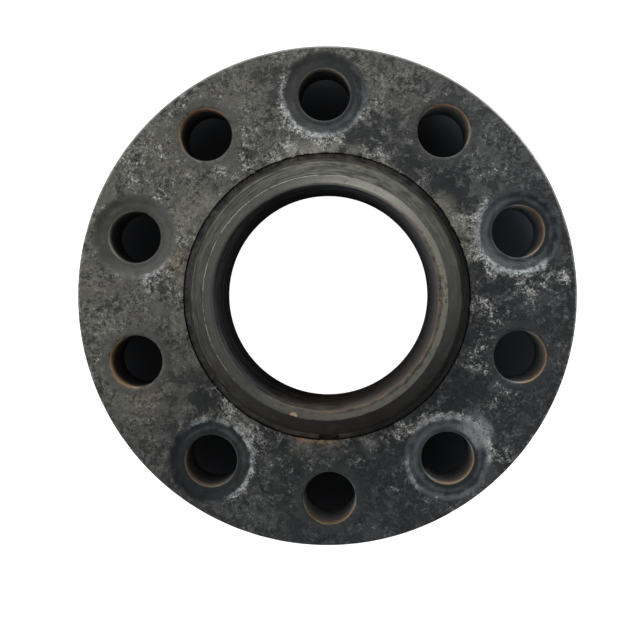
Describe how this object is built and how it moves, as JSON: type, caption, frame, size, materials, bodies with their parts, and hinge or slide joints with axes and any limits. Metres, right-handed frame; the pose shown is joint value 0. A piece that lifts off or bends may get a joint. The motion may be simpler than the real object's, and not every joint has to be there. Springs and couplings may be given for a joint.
{
  "type": "weld neck flange",
  "caption": "Heavy weld neck flange: a bevelled, tapered hub turning freely inside a thick loose bolting ring with dished and plain bolt holes, kept by a split ring.",
  "frame": {"origin": "centre of the raised gasket face, which the flange lies on", "axes": "+Z along the bore from the gasket face to the weld end; X and Y straddle the bolt holes, with one hole centred on +Y"},
  "size_m": [0.365, 0.365, 0.164],
  "materials": {
    "forged_hub": "matte",
    "scaled_ring": "matte",
    "black_spring_steel": "matte"
  },
  "bodies": {
    "hub": {"weld_hub": "forged_hub", "retaining_ring": "black_spring_steel"},
    "ring": {"bolting_ring": "scaled_ring"}
  },
  "joints": [
    {"name": "ring_swivel", "type": "hinge", "parent": "hub", "child": "ring", "pos_m": [0, 0, 0.053], "axis": [0, 0, 1], "continuous": true}
  ]
}
